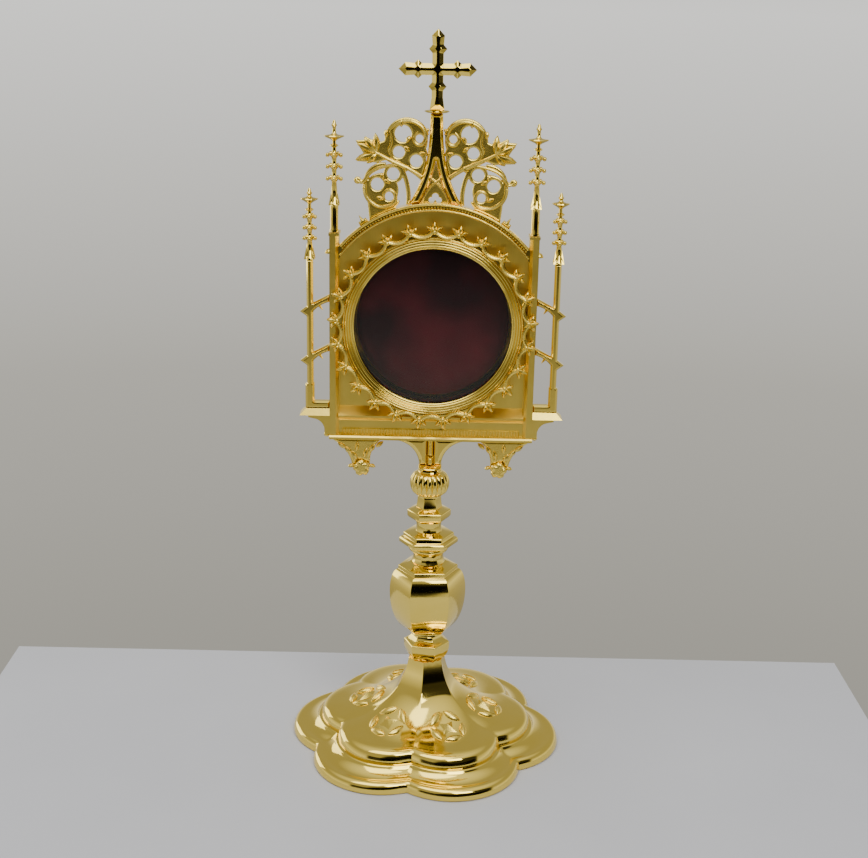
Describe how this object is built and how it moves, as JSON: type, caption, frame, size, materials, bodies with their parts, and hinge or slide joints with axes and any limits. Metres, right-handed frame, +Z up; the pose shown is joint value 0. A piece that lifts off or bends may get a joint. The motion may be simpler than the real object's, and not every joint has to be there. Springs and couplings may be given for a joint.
{
  "type": "monstrance",
  "caption": "Gilt Gothic monstrance: round glazed window with velvet backing in a pinnacled frame, turned stem with faceted knop, lobed foot and rear door.",
  "frame": {"origin": "on the table under the stem axis, the centre of the foot", "axes": "+Z up the stem, -Y out of the window at the front, +X to the viewer's right"},
  "size_m": [0.1552, 0.1502, 0.4],
  "materials": {
    "gilt_brass": "polished gold plate",
    "plated_steel": "satin",
    "glass": "clear flat glass",
    "velvet": "short pile velvet"
  },
  "bodies": {
    "frame": {"back_plate": "gilt_brass", "cross": "gilt_brass", "cross_collar": "gilt_brass", "flange_screws": "plated_steel", "foot": "gilt_brass", "foot_nut": "plated_steel", "foot_washer": "plated_steel", "gable_tracery": "gilt_brass", "glass_pane": "glass", "glass_retaining_ring": "plated_steel", "head_bracket": "gilt_brass", "hex_flange": "gilt_brass", "hinge_pin": "plated_steel", "hood": "gilt_brass", "hood_crockets": "gilt_brass", "knop": "gilt_brass", "knop_neck": "gilt_brass", "knurled_band": "gilt_brass", "latch_screw": "plated_steel", "left_buttress": "gilt_brass", "left_column": "gilt_brass", "left_cresting": "gilt_brass", "left_ledge": "gilt_brass", "left_outer_pinnacle": "gilt_brass", "left_pendant": "gilt_brass", "left_pinnacle": "gilt_brass", "lower_collar": "gilt_brass", "lower_neck": "gilt_brass", "middle_neck": "gilt_brass", "ogee_gable": "gilt_brass", "plinth": "gilt_brass", "plinth_moulding": "gilt_brass", "ribbed_bead": "gilt_brass", "right_buttress": "gilt_brass", "right_column": "gilt_brass", "right_cresting": "gilt_brass", "right_ledge": "gilt_brass", "right_outer_pinnacle": "gilt_brass", "right_pendant": "gilt_brass", "right_pinnacle": "gilt_brass", "theca_drum": "gilt_brass", "tie_rod": "plated_steel", "trumpet": "gilt_brass", "upper_neck": "gilt_brass", "upper_ring": "gilt_brass", "window_bezel": "gilt_brass", "window_crest": "gilt_brass"},
    "door": {"rear_door": "gilt_brass", "velvet_pad": "velvet", "door_pull": "gilt_brass"},
    "latch": {"turn_latch": "gilt_brass"}
  },
  "joints": [
    {"name": "door_hinge", "type": "hinge", "parent": "frame", "child": "door", "pos_m": [0.0504, 0.0173, 0.247], "axis": [0, 0, -1], "range_deg": [0, 110]},
    {"name": "latch_turn", "type": "hinge", "parent": "frame", "child": "latch", "pos_m": [-0.0508, 0.0195, 0.247], "axis": [0, 1, 0], "range_deg": [0, 90]}
  ]
}
